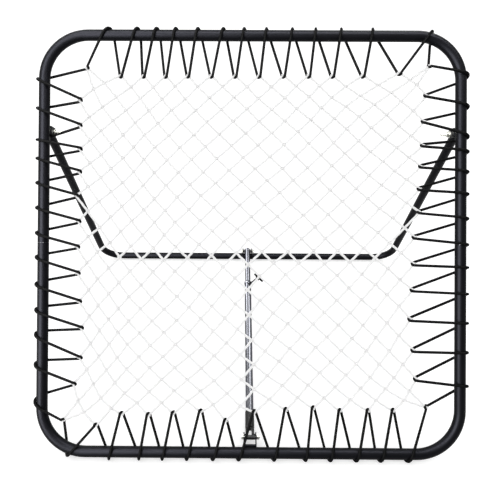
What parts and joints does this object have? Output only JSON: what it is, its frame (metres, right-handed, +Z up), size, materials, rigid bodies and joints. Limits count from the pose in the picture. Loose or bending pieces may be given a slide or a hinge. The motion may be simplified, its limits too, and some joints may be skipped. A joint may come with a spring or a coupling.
{
  "type": "soccer rebounder",
  "caption": "Square tubular rebounder with a diamond net laced in by elastic cord, leaning back on a hinged U-shaped leg set by a clamped telescopic ground strut.",
  "frame": {"origin": "on the ground under the middle of the whole rebounder as it stands open", "axes": "+Z up, -Y towards the player, +Y towards the rear leg, +X to the right of the player"},
  "size_m": [1.2556, 0.9444, 0.996],
  "materials": {
    "black_powder_coat": "satin",
    "plain_steel": "satin",
    "bright_zinc": "bright zinc plate",
    "yellow_zinc": "yellow zinc plate",
    "white_twine": "matte",
    "black_elastic": "braided, matte",
    "black_plastic": "satin"
  },
  "bodies": {
    "frame": {"frame_lower_half": "black_powder_coat", "frame_upper_half": "black_powder_coat", "left_joint_sleeve": "plain_steel", "right_joint_sleeve": "plain_steel", "net": "white_twine", "lacing_top": "black_elastic", "lacing_right": "black_elastic", "lacing_bottom": "black_elastic", "lacing_left": "black_elastic", "left_pivot_bracket": "black_powder_coat", "left_pivot_bolt": "yellow_zinc", "left_pivot_washer": "yellow_zinc", "left_pivot_nut": "yellow_zinc", "right_pivot_bracket": "black_powder_coat", "right_pivot_bolt": "yellow_zinc", "right_pivot_washer": "yellow_zinc", "right_pivot_nut": "yellow_zinc", "strut_bracket": "black_powder_coat", "foot_bolt": "yellow_zinc", "foot_nut": "yellow_zinc"},
    "leg": {"rear_leg": "black_powder_coat", "left_leg_plug": "black_plastic", "right_leg_plug": "black_plastic", "left_bar_ear": "black_powder_coat", "right_bar_ear": "black_powder_coat", "tip_bolt": "yellow_zinc", "tip_nut": "yellow_zinc"},
    "strut_outer": {"strut_outer_tube": "bright_zinc", "strut_foot_fitting": "black_plastic", "strut_collar": "bright_zinc", "clamp_boss": "black_powder_coat"},
    "strut_inner": {"strut_inner_tube": "bright_zinc", "strut_tip_fitting": "black_plastic"},
    "clamp": {"clamp_screw": "black_powder_coat", "clamp_handle": "black_powder_coat"}
  },
  "joints": [
    {"name": "leg_swing", "type": "hinge", "parent": "frame", "child": "leg", "pos_m": [0, 0.15662, 0.7315], "axis": [-1, 0, 0], "range_deg": [0, 12.5]},
    {"name": "strut_tilt", "type": "hinge", "parent": "frame", "child": "strut_outer", "pos_m": [0, -0.3977, 0.0224], "axis": [-1, 0, 0], "range_deg": [0, 3.82]},
    {"name": "strut_slide", "type": "slide", "parent": "strut_outer", "child": "strut_inner", "axis": [0, 0.9998, 0.0205], "range_m": [-0.1552, 0]},
    {"name": "clamp_turn", "type": "hinge", "parent": "strut_outer", "child": "clamp", "pos_m": [0, 0.24716, 0.03564], "axis": [0.6691, -0.0153, 0.743], "range_deg": [0, 360]}
  ],
  "couplings": [
    {"joint": "strut_tilt", "follows": "leg_swing", "ratio": 0.305},
    {"joint": "strut_slide", "follows": "leg_swing", "m_per_rad": -0.711}
  ]
}
